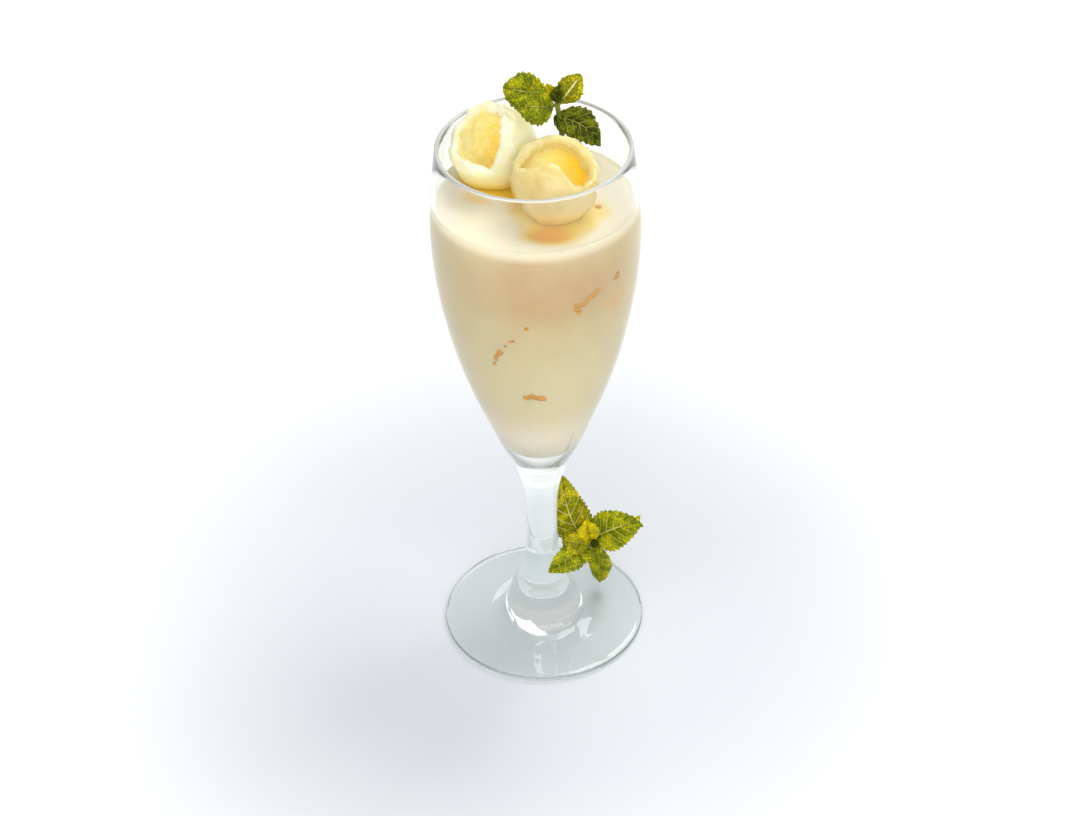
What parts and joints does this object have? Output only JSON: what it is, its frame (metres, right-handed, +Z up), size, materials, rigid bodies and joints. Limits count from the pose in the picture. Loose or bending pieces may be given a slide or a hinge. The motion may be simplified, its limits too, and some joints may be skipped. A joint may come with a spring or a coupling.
{
  "type": "parfait",
  "caption": "Cream dessert in a stemmed glass with a tall tulip bowl, topped with hollow peeled lychees and a mint sprig, with another mint sprig on the foot.",
  "frame": {"origin": "centre of the foot's flat underside", "axes": "+Z up along the glass's axis, -Y towards the front, from which the dessert is seen, +X to the right"},
  "size_m": [0.0672, 0.0672, 0.2058],
  "materials": {
    "glass": "clear, polished",
    "cream": "soft, smooth, slightly moist",
    "lychee": "translucent, moist",
    "mint": "veined, slightly waxy"
  },
  "bodies": {
    "root": {"glass": "glass", "cream": "cream", "lychee_left": "lychee", "lychee_right": "lychee", "mint_sprig_top": "mint", "mint_sprig_foot": "mint"}
  },
  "joints": []
}
